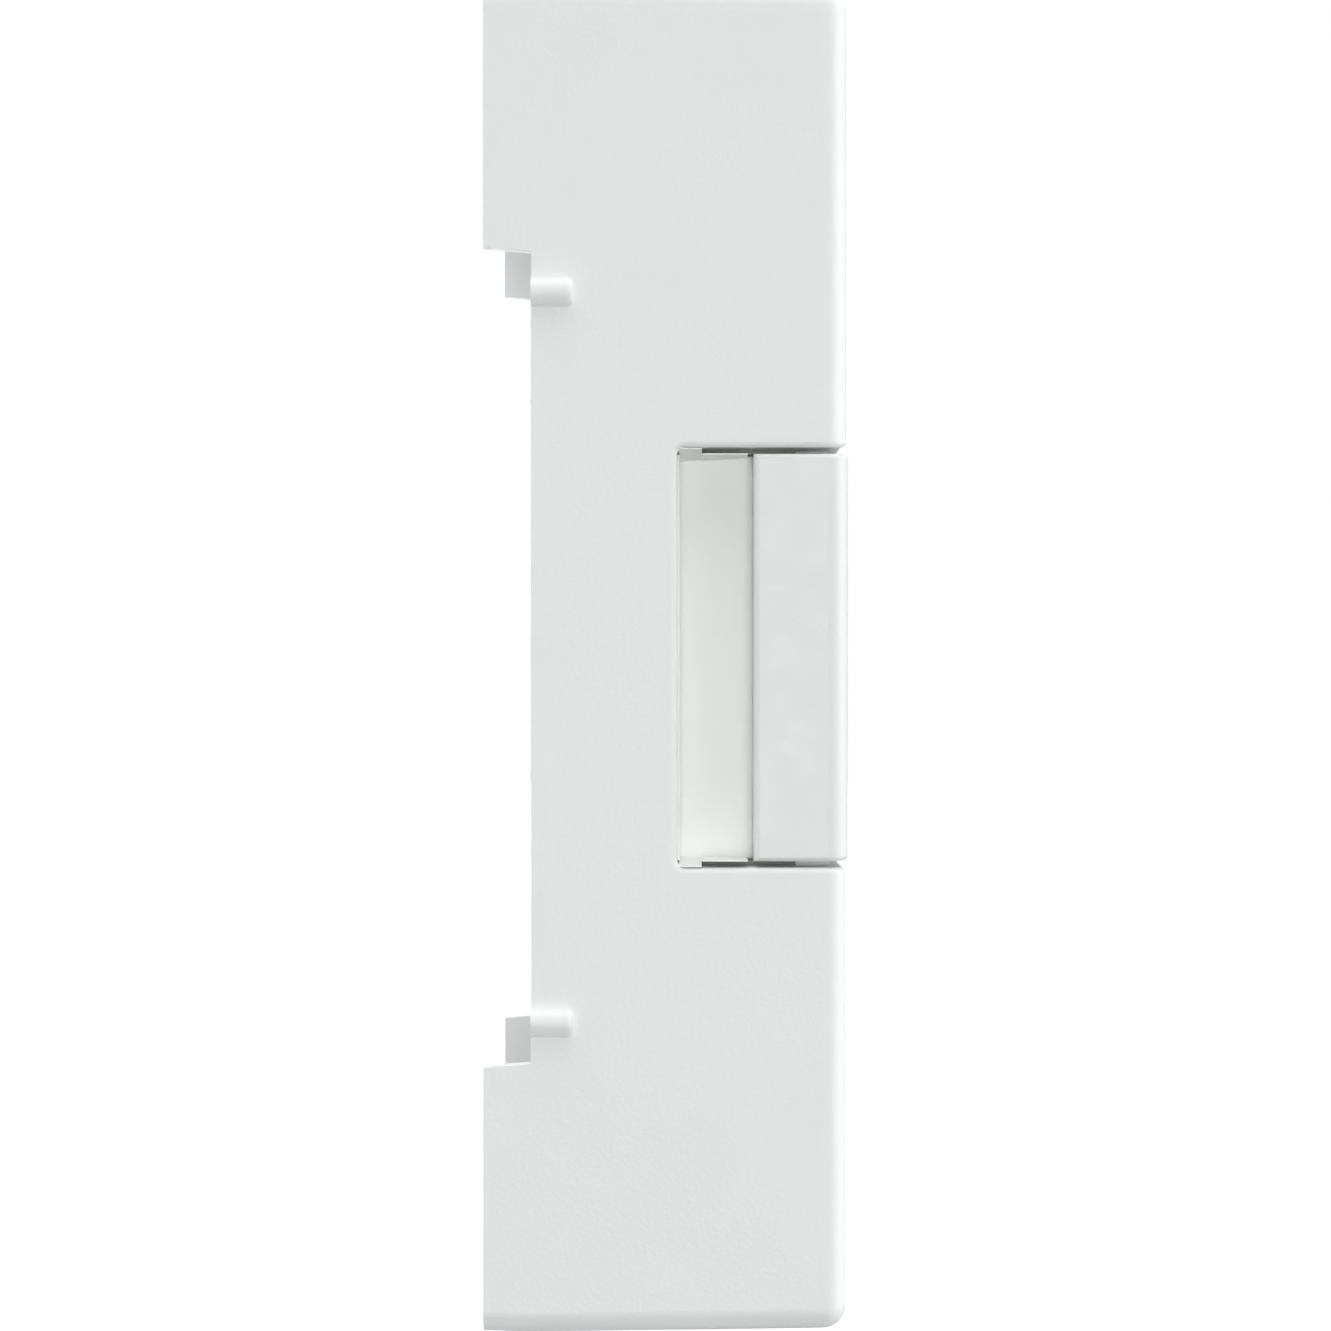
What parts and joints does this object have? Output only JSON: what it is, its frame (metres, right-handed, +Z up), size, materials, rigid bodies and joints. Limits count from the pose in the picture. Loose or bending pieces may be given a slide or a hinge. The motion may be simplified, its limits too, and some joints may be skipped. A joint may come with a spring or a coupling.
{
  "type": "video doorbell",
  "caption": "Slim white wall doorbell with a wrap-around call button, camera window, motion lens, speaker grille and a recessed back for a wall plate.",
  "frame": {"origin": "centre of the wall plane (the plane of the rear rim), level with the middle of the call button", "axes": "+Z up, -Y out of the front towards the visitor, +Y into the wall, X across the width"},
  "size_m": [0.0528, 0.0366, 0.1354],
  "materials": {
    "housing_white": "fine moulded grain, satin",
    "cover_white": "moulded, matte",
    "frame_white": "moulded, satin",
    "button_white": "fine moulded grain, satin",
    "light_guide": "milky, translucent",
    "seal_rubber": "soft, matte",
    "flap_rubber": "soft, matte",
    "screw_steel": "zinc plated",
    "spring_steel": "drawn wire",
    "circuit_board": "solder mask",
    "dark_board": "black solder mask",
    "led_cream": "cast resin",
    "switch_black": "moulded",
    "switch_red": "moulded",
    "flex_amber": "polyimide film",
    "window_glass": "smoked, polished",
    "lens_black": "blackened",
    "lens_glass": "coated, polished",
    "chip_black": "moulded",
    "fresnel_white": "milky, translucent",
    "shroud_black": "moulded",
    "can_steel": "tinned",
    "speaker_dark": "satin",
    "mesh_dark": "fine acoustic mesh",
    "mic_gold": "gold plated",
    "pad_grey": "soft, matte",
    "spreader_alu": "pressed sheet",
    "battery_blue": "shrink wrap",
    "plug_ivory": "moulded",
    "terminal_black": "moulded",
    "terminal_brass": "nickel-free brass",
    "reset_orange": "moulded",
    "plunger_grey": "moulded",
    "vent_membrane": "fine woven membrane"
  },
  "bodies": {
    "housing": {"front_housing": "housing_white", "rear_cover": "cover_white", "cover_seal": "seal_rubber", "cover_screws": "screw_steel", "button_frame": "frame_white", "frame_screws": "screw_steel", "button_springs": "spring_steel", "button_board": "circuit_board", "button_leds": "led_cream", "switch_body": "switch_black", "button_flex": "flex_amber", "camera_window": "window_glass", "window_seal": "seal_rubber", "lens_shroud": "seal_rubber", "lens_barrel": "lens_black", "lens_front": "lens_glass", "lens_rear": "lens_glass", "lens_holder": "lens_black", "image_sensor": "chip_black", "camera_board": "circuit_board", "camera_screws": "screw_steel", "camera_flex": "flex_amber", "ir_board": "dark_board", "ir_leds": "led_cream", "light_sensor": "led_cream", "pir_lens": "fresnel_white", "pir_shroud": "shroud_black", "pir_sensor": "can_steel", "sensor_board": "circuit_board", "speaker": "speaker_dark", "speaker_chamber": "shroud_black", "speaker_mesh": "mesh_dark", "microphone": "mic_gold", "microphone_boot": "seal_rubber", "main_board": "circuit_board", "board_screws": "screw_steel", "soc_shield": "can_steel", "thermal_pad": "pad_grey", "heat_spreader": "spreader_alu", "wifi_module": "can_steel", "wifi_antenna": "flex_amber", "board_chips": "chip_black", "board_capacitors": "can_steel", "battery_pack": "battery_blue", "battery_foam": "pad_grey", "battery_plug": "plug_ivory", "terminal_block": "terminal_black", "terminal_screws": "terminal_brass", "usb_connector": "can_steel", "reset_switch": "switch_black", "tamper_switch": "switch_black", "tamper_spring": "spring_steel", "breather_vent": "vent_membrane"},
    "button": {"call_button": "button_white", "button_light_ring": "light_guide", "button_cap": "button_white"},
    "plunger": {"switch_plunger": "switch_red"},
    "reset": {"reset_button": "reset_orange"},
    "tamper": {"tamper_plunger": "plunger_grey"},
    "flap": {"usb_flap": "flap_rubber"}
  },
  "joints": [
    {"name": "button_press", "type": "slide", "parent": "housing", "child": "button", "axis": [0, 1, 0], "range_m": [0, 0.0005], "stiffness_N_per_m": 1000, "springref_m": -0.001, "deforming": ["button_springs"]},
    {"name": "switch_press", "type": "slide", "parent": "housing", "child": "plunger", "axis": [0, 1, 0], "range_m": [0, 0.0005]},
    {"name": "reset_press", "type": "slide", "parent": "housing", "child": "reset", "axis": [0, -1, 0], "range_m": [0, 0.0004], "stiffness_N_per_m": 1200, "springref_m": -0.0004},
    {"name": "tamper_press", "type": "slide", "parent": "housing", "child": "tamper", "axis": [0, -1, 0], "range_m": [0, 0.0015], "stiffness_N_per_m": 300, "springref_m": -0.001, "deforming": ["tamper_spring"]},
    {"name": "flap_hinge", "type": "hinge", "parent": "housing", "child": "flap", "pos_m": [0, -0.004, -0.0474], "axis": [1, 0, 0], "range_deg": [0, 100]}
  ],
  "couplings": [
    {"joint": "switch_press", "follows": "button_press", "ratio": 1}
  ]
}
